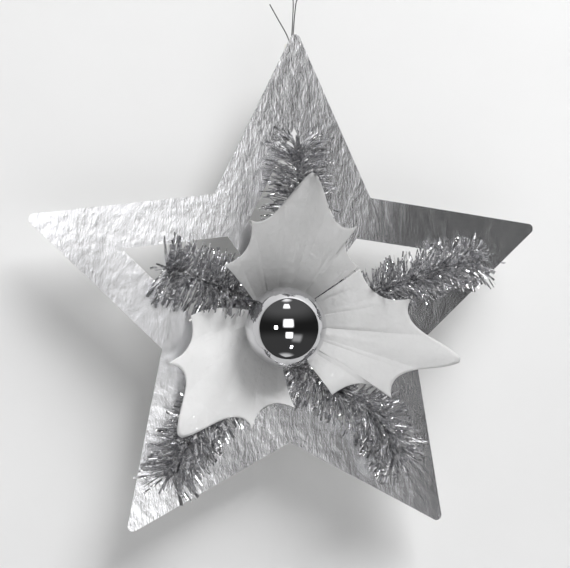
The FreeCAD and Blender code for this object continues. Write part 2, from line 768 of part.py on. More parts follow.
os.makedirs("parts", exist_ok=True)
for piece in pieces:
    if piece.Shape.isNull() or not piece.Shape.isValid():
        raise ValueError(f"{piece.Label} is not a valid shape")
    print(piece.Label, "solids", len(piece.Shape.Solids), "volume", round(piece.Shape.Volume, 1))
for piece in pieces:
    piece.Shape.exportStep(f"parts/{piece.Label}.step")
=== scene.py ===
import math
import bpy
import numpy as np
from mathutils import Matrix, Vector


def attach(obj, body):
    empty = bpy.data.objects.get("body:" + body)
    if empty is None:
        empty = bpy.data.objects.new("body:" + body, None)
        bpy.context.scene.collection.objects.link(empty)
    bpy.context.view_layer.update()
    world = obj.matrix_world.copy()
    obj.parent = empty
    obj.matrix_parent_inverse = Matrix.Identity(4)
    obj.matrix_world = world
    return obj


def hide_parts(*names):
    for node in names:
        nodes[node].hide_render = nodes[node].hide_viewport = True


# Hanging star decoration: embossed foil card, tinsel sprigs, pearly pleated leaves, mirror bauble.
# Shapes are worked out in millimetres and turned to metres when a mesh is made.

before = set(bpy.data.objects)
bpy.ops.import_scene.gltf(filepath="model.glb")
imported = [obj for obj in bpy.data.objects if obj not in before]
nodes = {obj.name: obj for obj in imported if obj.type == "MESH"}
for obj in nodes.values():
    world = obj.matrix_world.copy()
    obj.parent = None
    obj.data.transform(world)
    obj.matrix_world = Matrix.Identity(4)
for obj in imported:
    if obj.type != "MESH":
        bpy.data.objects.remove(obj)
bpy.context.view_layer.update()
scene = bpy.context.scene
scene.view_settings.view_transform = "Standard"
print("frame loaded:", len(nodes), "nodes")

mm = 0.001
hub = np.array([-13.0, 0.0, -257.0])   # where the leaves, the sprigs and the bauble meet
cardFront = -1.7                       # depth of the card's foil face
forward = np.array([0.0, -1.0, 0.0])


# Camera, as the photograph was taken: left of the star's middle and a little above it

cameraPlace = {"at": (-208.5, -891.7, -209.6), "turn": 12.838, "down": 1.018, "roll": 0.703, "lens": 74.96}


def makeCamera(place):
    turn, down, roll = (math.radians(place[key]) for key in ("turn", "down", "roll"))
    ahead = Vector((math.sin(turn) * math.cos(down), math.cos(turn) * math.cos(down), -math.sin(down)))
    right = ahead.cross(Vector((0, 0, 1))).normalized()
    up = right.cross(ahead)
    rolledRight = math.cos(roll) * right + math.sin(roll) * up
    rolledUp = math.cos(roll) * up - math.sin(roll) * right
    data = bpy.data.cameras.new("camera")
    data.lens = place["lens"]
    data.sensor_width = 36
    data.clip_start = 0.01
    camera = bpy.data.objects.new("camera", data)
    scene.collection.objects.link(camera)
    turned = Matrix((rolledRight, rolledUp, -ahead)).transposed().to_4x4()
    camera.matrix_world = Matrix.Translation(Vector(place["at"]) * mm) @ turned
    scene.camera = camera


makeCamera(cameraPlace)
print("camera placed")


# Node and colour helpers

def hexColour(text):
    # sRGB hex to the linear colour that shaders use
    values = [int(text[place:place + 2], 16) / 255 for place in (1, 3, 5)]
    return tuple(v / 12.92 if v <= 0.04045 else ((v + 0.055) / 1.055) ** 2.4 for v in values) + (1.0,)


def setInputs(tree, node, inputs):
    # Each input is a number, a colour or another node's output.
    for name, value in inputs.items():
        if isinstance(value, bpy.types.NodeSocket):
            tree.links.new(value, node.inputs[name])
        else:
            node.inputs[name].default_value = value


def addNode(tree, kind, settings=None, inputs=None):
    node = tree.nodes.new("ShaderNode" + kind)
    for name, value in (settings or {}).items():
        setattr(node, name, value)
    setInputs(tree, node, inputs or {})
    return node


def newMaterial(name):
    material = bpy.data.materials.new(name)
    material.use_nodes = True
    tree = material.node_tree
    return material, tree, tree.nodes["Principled BSDF"]


def objectPattern(tree, size):
    # Object coordinates stretched so that one unit is the given size in millimetres each way.
    place = addNode(tree, "TexCoord")
    return addNode(tree, "Mapping", inputs={
        "Vector": place.outputs["Object"], "Scale": tuple(1000 / side for side in size)}).outputs["Vector"]


# Cords: the doubled sewing thread up to its eye and back, and its loose end

threadValues = {"diameter": 0.8, "twistPitch": 1.6}
threadLoop = [(-2.675, -41.5), (-0.979, -9.5), (-2.6, -5.89), (-2.6, -1.9), (-1.61, 0), (1.61, 0),
              (2.6, -1.9), (2.6, -5.89), (-0.029, -9.5), (-1.725, -41.5)]
threadEnd = [(-3.675, -41.5), (-5.4, -35.5), (-12.6, -24.4), (-20, -12)]


def sewingThread(values):
    # Polyester sewing thread, two strands spun and dyed: dull, slightly fuzzy, with a fine slanted twist.
    material, tree, shader = newMaterial("sewingThread")
    pattern = objectPattern(tree, (values["twistPitch"],) * 3)
    twist = addNode(tree, "TexWave", {"bands_direction": "DIAGONAL"},
                    {"Vector": pattern, "Scale": 1.0, "Distortion": 0.6})
    colour = addNode(tree, "MixRGB", inputs={
        0: twist.outputs["Fac"], 1: hexColour("#242424"), 2: hexColour("#565656")})
    bump = addNode(tree, "Bump", inputs={"Height": twist.outputs["Fac"], "Strength": 0.6, "Distance": 0.0002})
    setInputs(tree, shader, {"Base Color": colour.outputs[0], "Roughness": 0.75, "Normal": bump.outputs[0]})
    return material


def makeThread(name, route, values, material):
    curve = bpy.data.curves.new(name, "CURVE")
    curve.dimensions = "3D"
    curve.bevel_depth = values["diameter"] / 2 * mm
    curve.bevel_resolution = 3
    curve.use_fill_caps = True
    line = curve.splines.new("NURBS")
    line.points.add(len(route) - 1)
    for point, (x, z) in zip(line.points, route):
        point.co = (x * mm, 0, z * mm, 1)
    line.order_u = 3
    line.use_endpoint_u = True
    line.resolution_u = 12
    curve.materials.append(material)
    piece = bpy.data.objects.new(name, curve)
    scene.collection.objects.link(piece)
    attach(piece, "root")
    return piece


threadMaterial = sewingThread(threadValues)
loop = makeThread("thread_loop", threadLoop, threadValues, threadMaterial)
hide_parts("hanging_thread")
tail = makeThread("thread_end", threadEnd, threadValues, threadMaterial)
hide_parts("thread_tail")
print("thread made")


# Mesh helpers

def makePiece(name, points, faces, material, replaced):
    # points in millimetres and face corners into one smooth mesh at the origin
    mesh = bpy.data.meshes.new(name)
    mesh.from_pydata((np.asarray(points) * mm).tolist(), [], faces)
    mesh.polygons.foreach_set("use_smooth", np.ones(len(mesh.polygons), bool))
    mesh.materials.append(material)
    mesh.update()
    piece = bpy.data.objects.new(name, mesh)
    scene.collection.objects.link(piece)
    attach(piece, "root")
    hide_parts(*replaced)
    return piece


def gridFaces(rows, columns, closed=False, start=0):
    # Quads between the points of a grid that is stored row by row; closed joins the last column to the first.
    spans = columns if closed else columns - 1
    row, column = np.meshgrid(np.arange(rows - 1), np.arange(spans), indexing="ij")
    following = (column + 1) % columns
    corners = np.stack([row * columns + column, row * columns + following,
                        (row + 1) * columns + following, (row + 1) * columns + column], axis=-1)
    return (corners.reshape(-1, 4) + start).tolist()


def unit(vectors):
    return vectors / np.linalg.norm(vectors, axis=-1, keepdims=True)


def smoothPath(corners, spacing):
    # Each run gives its points at a quarter and three quarters of it, four times over;
    # the line is then divided evenly by its length.
    line = np.array(corners, float)
    for _ in range(4):
        quarters = np.stack([0.75 * line[:-1] + 0.25 * line[1:], 0.25 * line[:-1] + 0.75 * line[1:]], axis=1)
        line = np.vstack([line[:1], quarters.reshape(-1, 3), line[-1:]])
    along = np.concatenate([[0], np.cumsum(np.linalg.norm(np.diff(line, axis=0), axis=1))])
    even = np.linspace(0, along[-1], int(along[-1] / spacing) + 2)
    return np.stack([np.interp(even, along, line[:, axis]) for axis in range(3)], axis=1), along[-1]


def sideways(path):
    # At each point of a path: its direction, the way across it, and the way up from it towards the front.
    tangent = unit(np.gradient(path, axis=0))
    across = unit(np.cross(tangent, forward))
    return tangent, across, np.cross(across, tangent)


def tubePoints(path, across, up, radius, sides):
    # A ring of the given radius in the plane of the two directions at each point of the path.
    turn = np.arange(sides) / sides * 2 * np.pi
    ring = across[:, None] * np.cos(turn)[None, :, None] + up[:, None] * np.sin(turn)[None, :, None]
    return (path[:, None] + ring * radius).reshape(-1, 3)


def tubeFaces(count, sides, start):
    # The tube's sides, and one flat face over the first and the last ring.
    last = start + (count - 1) * sides
    ends = [list(range(start, start + sides)), list(range(last, last + sides))[::-1]]
    return [face[::-1] for face in gridFaces(count, sides, True, start)] + ends


# Leaves: a thin pressed sheet that rises from the hub and is pleated out to each point of its edge

leafValues = {
    "thickness": 0.5, "stackBack": -6.5, "layerStep": 0.8,
    # from the hub: hole, flat base, knee and its share of the way out, and how far knee and edge rise
    "hole": 5.6, "base": 13, "knee": 40, "kneeShare": 0.4, "kneeRise": 14, "edgeRise": 20,
    "tipWidth": 3.4, "rounding": 0.8, "pleat": 1.6,
    "scallops": 5, "scallopRise": 0.36, "scallopSlant": 0.9, "scallopLong": 0.8,
    "rows": 40, "across": 300, "biteSteps": 60, "edgeSteps": 1200, "hubSteps": 24, "coverSteps": 70,
}
# left and right hold each side's points as reach from the hub and degrees off the leaf's middle line; waist
# and foot are the degrees to its right and left at the knee and the base. The two colours at the end of each
# leaf are the sheet's darkest and palest colour as painted light and shade: one pearly sheet is painted
# darker on leaf_top and paler on leaf_low for how the light falls on each, set for each leaf so that it looks
# as light as it does in the picture.
leaves = {
    "leaf_top": {"layer": 2, "angle": 79.3, "length": 117,
                 "left": [(83, 28.7), (64, 55.8)], "right": [(95.5, 26), (73.5, 41.7)],
                 "tipBite": (11.4, 7), "sideBite": (10, 8.5), "waist": (41, 56), "foot": (41, 66),
                 "paintedLightTones": ("#ADADAD", "#BCBCBC")},
    "leaf_right": {"layer": 1, "angle": -10.5, "length": 143,
                   "left": [(102.5, 22.3), (73.5, 47)], "right": [(101.5, 22), (64.5, 43)],
                   "tipBite": (12.4, 10.8), "sideBite": (9.7, 10), "waist": (42, 47.6), "foot": (40, 47.4),
                   "paintedLightTones": ("#C8C8C8", "#D8D8D8")},
    "leaf_low": {"layer": 0, "angle": -133.6, "length": 111.5,
                 "left": [(79.5, 27), (62, 53.5)], "right": [(90, 28.6), (70, 53)],
                 "tipBite": (11.4, 10.2), "sideBite": (8.6, 11), "waist": (66, 49), "foot": (85, 49),
                 "paintedLightTones": ("#E6E6E6", "#F4F4F4")},
}


def leafOutline(leaf, values, count):
    # Bites between the leaf's points, from its right side round the tip to the left. A side bite is a
    # parabola under its chord. A tip bite is out ** 0.6 * (1 - out) ** 1.8 over its own peak, deepest near
    # the side point. The line is spaced evenly and softened a little, and each point has its fold: 0 on a
    # ridge, 1 in a valley.
    half = math.degrees(math.asin(values["tipWidth"] / 2 / leaf["length"]))
    reach = [leaf["right"][1][0], leaf["right"][0][0], leaf["length"], leaf["length"],
             leaf["left"][0][0], leaf["left"][1][0]]
    angle = np.radians([-leaf["right"][1][1], -leaf["right"][0][1], -half, half,
                        leaf["left"][0][1], leaf["left"][1][1]])
    corners = np.stack([reach * np.cos(angle), reach * np.sin(angle)], axis=1)
    parts, folds, tipPeak = [], [], 0.259
    sideRight, sideLeft = leaf["sideBite"]
    tipRight, tipLeft = leaf["tipBite"]
    for start, end, deep, kind in ((0, 1, sideRight, "side"), (1, 2, tipRight, "outward"),
                                   (3, 4, tipLeft, "inward"), (4, 5, sideLeft, "side")):
        chord = corners[end] - corners[start]
        across = np.array([chord[1], -chord[0]])
        across /= np.linalg.norm(across)
        if across @ (corners[start] + corners[end]) < 0:
            across = -across
        share = np.linspace(0, 1, values["biteSteps"])
        out = 1 - share if kind == "inward" else share
        shape = 4 * share * (1 - share) if kind == "side" else out ** 0.6 * (1 - out) ** 1.8 / tipPeak
        parts.append(corners[start] + chord * share[:, None] - across * (deep * shape)[:, None])
        folds.append(1 - np.abs(2 * share - 1))
    line, fold = np.vstack(parts), np.concatenate(folds)
    along = np.concatenate([[0], np.cumsum(np.linalg.norm(np.diff(line, axis=0), axis=1))])
    steps = values["edgeSteps"]
    fine = np.linspace(0, along[-1], steps)
    dense = np.stack([np.interp(fine, along, line[:, 0]), np.interp(fine, along, line[:, 1])], axis=1)
    width = int(values["rounding"] / along[-1] * steps)
    kernel = np.hanning(4 * width + 3)
    kernel /= kernel.sum()
    padded = np.pad(dense, ((len(kernel) // 2,) * 2, (0, 0)), mode="edge")
    soft = np.stack([np.convolve(padded[:, axis], kernel, "valid") for axis in range(2)], axis=1)
    chosen = np.linspace(0, steps - 1, count).astype(int)
    return soft[chosen], np.interp(fine, along, fold)[chosen]


def turned(flat, degrees):
    angle = math.radians(degrees)
    return np.stack([flat[..., 0] * math.cos(angle) - flat[..., 1] * math.sin(angle),
                     flat[..., 0] * math.sin(angle) + flat[..., 1] * math.cos(angle)], axis=-1)


def leafFront(leaf, values):
    return values["stackBack"] - leaf["layer"] * values["layerStep"] - values["thickness"]


def makeLeaf(name, leaf, values, material):
    # Each column of the grid runs from the base ring over the knee to the edge on a parabola through the
    # three. Its folds rise and fall by half the pleat times out ** 1.5, and slanted ribs, long on one side
    # and short on the other, fade towards both ends.
    columns, rows = values["across"], values["rows"]
    edge, fold = leafOutline(leaf, values, columns)
    spread = np.arctan2(edge[:, 1], edge[:, 0])
    share = (spread - spread[0]) / (spread[-1] - spread[0])

    def ring(radius, sides):
        angle = -math.radians(sides[0]) + share * math.radians(sides[0] + sides[1])
        return np.stack([radius * np.cos(angle), radius * np.sin(angle)], axis=1)

    base, knee = ring(values["base"], leaf["foot"]), ring(values["knee"], leaf["waist"])
    out = np.linspace(0, 1, rows)[:, None]
    middle = values["kneeShare"]
    weights = ((out - middle) * (out - 1) / middle, out * (out - 1) / (middle * (middle - 1)),
               out * (out - middle) / (1 - middle))
    flat = sum(weight[..., None] * line[None] for weight, line in zip(weights, (base, knee, edge)))
    rise = weights[1] * values["kneeRise"] + weights[2] * values["edgeRise"]
    crease = fold[None] - 0.5
    phase = (share[None] * values["scallops"] + values["scallopSlant"] * (share[None] - 0.5) * out) % 1
    long = values["scallopLong"]
    scallop = np.minimum(phase / long, (1 - phase) / (1 - long)) ** 2 * values["scallopRise"]
    rise = rise - crease * values["pleat"] * out ** 1.5 - scallop * np.sin(np.pi * out ** 0.7) ** 0.5
    fan = np.concatenate([flat, rise[..., None]], axis=-1).reshape(-1, 3)

    gapStart = math.radians(leaf["foot"][1])
    gap = 2 * math.pi - math.radians(leaf["foot"][0] + leaf["foot"][1])
    rest = gapStart + gap * np.arange(1, values["hubSteps"]) / values["hubSteps"]
    restRing = np.stack([np.cos(rest), np.sin(rest), 0 * rest], axis=1)
    firstAngle = np.arctan2(base[:, 1], base[:, 0])
    around = np.concatenate([firstAngle, rest])
    holeRing = np.stack([values["hole"] * np.cos(around), values["hole"] * np.sin(around),
                         0 * around], axis=1)
    fan[:columns, 2] = 0
    local = np.vstack([fan, restRing * [values["base"], values["base"], 1], holeRing])
    total = rows * columns
    outer = np.concatenate([np.arange(columns), total + np.arange(len(rest))])
    inner = total + len(rest) + np.arange(len(around))
    disc = np.stack([inner, np.roll(inner, -1), np.roll(outer, -1), outer], axis=1)
    faces = gridFaces(rows, columns) + disc.tolist()

    place = turned(local[:, :2], leaf["angle"])
    points = np.stack([hub[0] + place[:, 0], leafFront(leaf, values) - local[:, 2],
                       hub[2] + place[:, 1]], axis=1)
    piece = makePiece(name + "_sheet", points, faces, material, [name])
    thicken = piece.modifiers.new("thickness", "SOLIDIFY")
    thicken.thickness = values["thickness"] * mm
    thicken.offset = -1
    return piece


def pearlSheet(name, paintedLightTones):
    # Calendered pearly polypropylene, pressed hot over a pleated die: milky and faintly cloudy, with soft
    # dimples under a thin glossy skin whose ripples break up what it reflects.
    material, tree, shader = newMaterial(name)
    cloud = addNode(tree, "TexNoise", inputs={"Vector": objectPattern(tree, (22, 22, 22)), "Scale": 1.0,
                                              "Detail": 2.0})
    # The two colours given are painted light and shade, set leaf by leaf rather than the sheet's own colour;
    # the cloud mixes between them.
    colour = addNode(tree, "MixRGB", inputs={
        0: cloud.outputs["Fac"], 1: hexColour(paintedLightTones[0]), 2: hexColour(paintedLightTones[1])})
    dimple = addNode(tree, "TexNoise", inputs={"Vector": objectPattern(tree, (5, 5, 5)), "Scale": 1.0,
                                               "Detail": 1.0})
    bump = addNode(tree, "Bump", inputs={
        "Height": dimple.outputs["Fac"], "Strength": 0.5, "Distance": 0.0006})
    ripple = addNode(tree, "TexNoise", inputs={"Vector": objectPattern(tree, (6, 6, 6)), "Scale": 1.0})
    skin = addNode(tree, "Bump", inputs={
        "Height": ripple.outputs["Fac"], "Strength": 1.0, "Distance": 0.005})
    setInputs(tree, shader, {
        "Base Color": colour.outputs[0], "Roughness": 0.3, "Normal": bump.outputs[0],
        "Subsurface Weight": 0.15, "Subsurface Radius": (1, 1, 1), "Subsurface Scale": 0.002,
        "Coat Weight": 1.0, "Coat Roughness": 0.05, "Coat Normal": skin.outputs[0]})
    return material


for leafName, leafShape in leaves.items():
    makeLeaf(leafName, leafShape, leafValues, pearlSheet(leafName + "_pearl_painted_light", leafShape["paintedLightTones"]))
print("leaves made")


# Tinsel sprigs: two wires twisted together, with cut strips of metallised film caught between them

sprigValues = {
    "coreStart": 9, "padRadius": 15, "corePlane": -5.3, "lifted": -15.7, "fringeStart": 20,
    "wireRadius": 0.45, "wireSides": 6, "twistPitch": 5, "turnSteps": 10, "pathStep": 1.0,
    "stripThickness": 0.14, "stations": 5,
    # strip width, its least share, what may be added to that, and how rare the wide ones are
    "stripWidth": 1.5, "narrow": 0.55, "wider": 1.5, "rareWide": 2.2,
    # spread of the lean in degrees, shares of the sprig's reach, bends as a share of length, twist in radians
    "leanSpread": 9, "lengths": (0.72, 1.02), "bends": (0.02, 0.14), "twist": 1.6,
    # room left in front of the card, behind the leaves and round the bauble
    "cardSpace": 0.9, "leafSpace": 1.0, "baubleSpace": 1.2,
    "coverMargin": 2, "kneeSlack": 1, "edgeSlack": 2.4,
}
# lean goes from its first to its second value along the sprig, in degrees; route gives reach and angle from
# the hub.
sprigs = {
    "top": {"reach": 31, "until": 1, "lean": (-12, 30), "strips": 620, "droop": 0.12, "seed": 3,
            "route": [(30, 79), (85, 80), (138, 84)]},
    "left": {"reach": 30, "until": 0.9, "lean": (6, 8), "strips": 600, "droop": 0.04, "seed": 5,
             "route": [(36, 141), (70, 151), (104, 154)]},
    "right": {"reach": 25, "until": 0.97, "lean": (10, 28), "strips": 900, "droop": 0.03, "seed": 7,
              "route": [(35, 15.5), (80, 17.5), (128, 19.6), (172, 17.9)]},
    "low_right": {"reach": 29, "until": 0.97, "lean": (12, 30), "strips": 720, "droop": 0.06, "seed": 11,
                  "route": [(34, -66), (76, -45), (106, -41), (142, -47)]},
    "low_left": {"reach": 28, "until": 0.96, "lean": (8, 32), "strips": 720, "droop": 0.06, "seed": 13,
                 "route": [(35, -121), (95, -129.5), (142, -125.8)]},
}


def coreRoute(sprig, values):
    (firstReach, firstAngle), *others = sprig["route"]
    stops = [(values["coreStart"], firstAngle, values["corePlane"]),
             (values["padRadius"], firstAngle, values["corePlane"]),
             (firstReach, firstAngle, (values["corePlane"] + values["lifted"]) / 2)]
    stops += [(reach, angle, values["lifted"]) for reach, angle in others]
    return [hub + [reach * math.cos(math.radians(angle)), depth, reach * math.sin(math.radians(angle))]
            for reach, angle, depth in stops]


def makeCore(name, sprig, values, material):
    # Each wire is a tube round a helix about the sprig's path, the two half a turn apart.
    path, length = smoothPath(coreRoute(sprig, values), values["twistPitch"] / values["turnSteps"])
    _, across, up = sideways(path)
    spin = np.linspace(0, 2 * np.pi * length / values["twistPitch"], len(path))
    points, faces, sides = [], [], values["wireSides"]
    for wire in range(2):
        angle = spin + wire * np.pi
        offset = across * np.cos(angle)[:, None] + up * np.sin(angle)[:, None]
        line = path + offset * values["wireRadius"]
        _, lineAcross, lineUp = sideways(line)
        faces += tubeFaces(len(path), sides, wire * len(path) * sides)
        points.append(tubePoints(line, lineAcross, lineUp, values["wireRadius"], sides))
    return makePiece(f"sprig_wire_{name}", np.vstack(points), faces, material,
                     [f"tinsel_core_{name}"])


def insideOutline(flat, outline):
    # Counts how often a line to the right of each point crosses the outline.
    one, two = outline, np.roll(outline, -1, axis=0)
    x, z = flat[..., 0, None], flat[..., 1, None]
    crosses = (one[:, 1] > z) != (two[:, 1] > z)
    run = np.where(two[:, 1] == one[:, 1], 1, two[:, 1] - one[:, 1])
    where = one[:, 0] + (z - one[:, 1]) / run * (two[:, 0] - one[:, 0])
    return (crosses & (x < where)).sum(axis=-1) % 2 == 1


def leafCovers(values):
    covers = []
    for leaf in leaves.values():
        edge, _ = leafOutline(leaf, values, values["coverSteps"])
        outline = turned(np.vstack([edge, [[0, 0]]]), leaf["angle"])
        covers.append((outline, leaf["length"], leafFront(leaf, values) + values["thickness"]))
    return covers


covers = leafCovers(leafValues)
bauble = {"middle": (-13, -38.37, -257), "radius": 30, "neck": 4.5, "neckLength": 3, "wall": 0.8, "lip": 0.15,
          "outerSteps": 96, "innerSteps": 48, "around": 128}


def keepClear(points, values):
    # Strips lie down on the card, stay behind any leaf that covers them, and go round the bauble.
    points = points.copy()
    flat = points[..., [0, 2]] - hub[[0, 2]]
    reach = np.linalg.norm(flat, axis=-1)
    shifts = values["coverMargin"] * np.array([(0, 0), (1, 0), (-1, 0), (0, 1), (0, -1)])
    for outline, length, back in covers:
        covered = np.any([insideOutline(flat + shift, outline) for shift in shifts], axis=0)
        rise = np.interp(reach, [leafValues["base"], leafValues["knee"], length],
                         [0, leafValues["kneeRise"] - values["kneeSlack"],
                          leafValues["edgeRise"] - values["edgeSlack"]])
        limit = back - rise + values["leafSpace"]
        points[..., 1] = np.where(covered, np.maximum(points[..., 1], limit), points[..., 1])
    away = points - np.array(bauble["middle"])
    distance = np.linalg.norm(away, axis=-1, keepdims=True)
    clear = bauble["radius"] + values["baubleSpace"]
    points = np.where(distance < clear, np.array(bauble["middle"]) + away / distance * clear, points)
    points[..., 1] = np.minimum(points[..., 1], cardFront - values["cardSpace"])
    return points


def makeFringe(name, sprig, values, material):
    # A strip is a flat closed bar of four corners per station. Its middle line is
    # root + (way * s + bend * s squared) * reach, and its width turns about that line as s grows.
    chance = np.random.default_rng(sprig["seed"])
    path, length = smoothPath(coreRoute(sprig, values), values["pathStep"])
    tangent, across, up = sideways(path)
    count, stations = sprig["strips"], values["stations"]
    first = values["fringeStart"] / length
    share = chance.uniform(0, sprig["until"], count)
    place = (first + (1 - first) * share) * (len(path) - 1)
    low = np.minimum(place.astype(int), len(path) - 2)
    part = (place - low)[:, None]
    root, along, side, rise = (line[low] * (1 - part) + line[low + 1] * part
                               for line in (path, tangent, across, up))
    turn = chance.uniform(0, 2 * np.pi, count)[:, None]
    outward = side * np.cos(turn) + rise * np.sin(turn)
    lean = sprig["lean"][0] + (sprig["lean"][1] - sprig["lean"][0]) * share
    lean = np.radians(lean + chance.normal(0, values["leanSpread"], count))[:, None]
    way = outward * np.cos(lean) + along * np.sin(lean)
    reach = sprig["reach"] * chance.uniform(*values["lengths"], count)[:, None]
    bend = unit(np.cross(way, chance.normal(0, 1, (count, 3)))) * chance.uniform(*values["bends"], (count, 1))
    bend = bend - np.array([0, 0, 1]) * sprig["droop"]
    s = np.linspace(0, 1, stations)[None, :, None]
    line = root[:, None] + (way[:, None] * s + bend[:, None] * s ** 2) * reach[:, None]
    line = keepClear(line, values)
    run = unit(np.gradient(line, axis=1) + 1e-6)   # never quite zero, where two stations meet
    flatWay = unit(np.cross(run, unit(chance.normal(0, 1, (count, 1, 3)))))
    other = np.cross(run, flatWay)
    twist = chance.uniform(-values["twist"], values["twist"], (count, 1, 1)) * s
    wide = flatWay * np.cos(twist) + other * np.sin(twist)
    thin = np.cross(run, wide)
    rare = chance.uniform(0, 1, (count, 1, 1)) ** values["rareWide"]
    width = values["stripWidth"] * (values["narrow"] + values["wider"] * rare) / 2
    thick = values["stripThickness"] / 2
    corners = np.stack([line + wide * width + thin * thick, line - wide * width + thin * thick,
                        line - wide * width - thin * thick, line + wide * width - thin * thick], axis=2)
    one = np.array(gridFaces(stations, 4, True) + [[3, 2, 1, 0]] + [[4 * stations - 4 + c for c in range(4)]])
    faces = (one[None] + (np.arange(count) * stations * 4)[:, None, None]).reshape(-1, 4)
    piece = makePiece(f"sprig_foil_{name}", corners.reshape(-1, 3), faces.tolist(), material,
                      [f"tinsel_fringe_{name}"])
    piece.data.polygons.foreach_set("use_smooth", np.zeros(len(piece.data.polygons), bool))
    return piece


def metallisedFilm():
    # Vacuum-metallised polyester film slit into strips: mirror bright and a little creased, so that
    # neighbouring strips flash or go dark.
    material, tree, shader = newMaterial("metallisedFilm")
    crinkle = addNode(tree, "TexNoise", inputs={"Vector": objectPattern(tree, (3, 3, 3)), "Scale": 1.0,
                                                "Detail": 2.0})
    shine = addNode(tree, "MapRange", inputs={
        "Value": crinkle.outputs["Fac"], "From Min": 0.4, "From Max": 0.62})
    colour = addNode(tree, "MixRGB", inputs={
        0: shine.outputs[0], 1: hexColour("#C2C2C6"), 2: hexColour("#FFFFFF")})
    bump = addNode(tree, "Bump", inputs={
        "Height": crinkle.outputs["Fac"], "Strength": 0.5, "Distance": 0.0006})
    setInputs(tree, shader, {"Base Color": colour.outputs[0], "Metallic": 0.83, "Roughness": 0.12,
                             "Normal": bump.outputs[0]})
    return material


def drawnWire(name, hexText):
    # Galvanised steel florist's wire, drawn through a die: dull grey metal with faint lines along it, which
    # are coarser here than real ones so that they show.
    material, tree, shader = newMaterial(name)
    streak = addNode(tree, "TexNoise", inputs={"Vector": objectPattern(tree, (0.5, 0.5, 4)), "Scale": 1.0})
    colour = addNode(tree, "MixRGB", inputs={
        0: streak.outputs["Fac"], 1: hexColour("#6E6E70"), 2: hexColour(hexText)})
    setInputs(tree, shader, {"Base Color": colour.outputs[0], "Metallic": 1.0, "Roughness": 0.38})
    return material


filmMaterial = metallisedFilm()
wireMaterial = drawnWire("sprigWire", "#A8A8AA")
for sprigName, sprigShape in sprigs.items():
    makeCore(sprigName, sprigShape, sprigValues, wireMaterial)
    makeFringe(sprigName, sprigShape, sprigValues, filmMaterial)
print("tinsel made")


# Bauble: blown glass ball, silvered

def makeBauble(values, material):
    # A profile carried round the bauble's own axis: out along the sphere, along the neck, and back inside.
    # Each arc is size * sine and size * cosine of the angle from the neck.
    radius, neck, wall, lip = (values[key] for key in ("radius", "neck", "wall", "lip"))
    outer = np.linspace(np.pi, math.asin(neck / radius), values["outerSteps"])
    inner = np.linspace(math.asin((neck - wall) / (radius - wall)), np.pi, values["innerSteps"])
    end = radius + values["neckLength"]

    def arc(size, angle):
        return np.stack([size * np.sin(angle), size * np.cos(angle)], axis=1)

    profile = np.vstack([
        arc(radius, outer)[1:],
        [[neck, end - lip], [neck - lip, end], [neck - wall + lip, end], [neck - wall, end - lip]],
        arc(radius - wall, inner)[:-1]])
    turn = np.linspace(0, 2 * np.pi, values["around"], endpoint=False)
    points = np.stack([profile[:, None, 0] * np.cos(turn), profile[:, None, 1] + 0 * turn,
                       profile[:, None, 0] * np.sin(turn)], axis=-1).reshape(-1, 3)
    poles = [[0, -radius, 0], [0, -(radius - wall), 0]]
    points = np.vstack([points, poles]) + np.array(values["middle"])
    rows, columns = len(profile), len(turn)
    first, last = rows * columns, rows * columns + 1
    ring = np.arange(columns)
    following = np.roll(ring, -1)
    front = np.stack([ring, following, np.full(columns, first)], axis=1)
    inside = np.stack([(rows - 1) * columns + following, (rows - 1) * columns + ring,
                       np.full(columns, last)], axis=1)
    faces = [face[::-1] for face in gridFaces(rows, columns, True)] + front.tolist() + inside.tolist()
    return makePiece("bauble_shell", points, faces, material, ["bauble"])


def silveredBall():
    # Blown ball silvered and lacquered: a near perfect mirror with a breath of haze and handling smudges.
    material, tree, shader = newMaterial("silveredBall")
    smudge = addNode(tree, "TexNoise", inputs={"Vector": objectPattern(tree, (14, 14, 14)), "Scale": 1.0,
                                               "Detail": 3.0})
    haze = addNode(tree, "MapRange", inputs={
        "Value": smudge.outputs["Fac"], "From Min": 0.45, "From Max": 0.8, "To Min": 0.015, "To Max": 0.07})
    setInputs(tree, shader, {"Base Color": hexColour("#D2D2D4"), "Metallic": 1.0,
                             "Roughness": haze.outputs[0]})
    return material


makeBauble(bauble, silveredBall())
print("bauble made")


# Finishes of the pieces that stay as they come

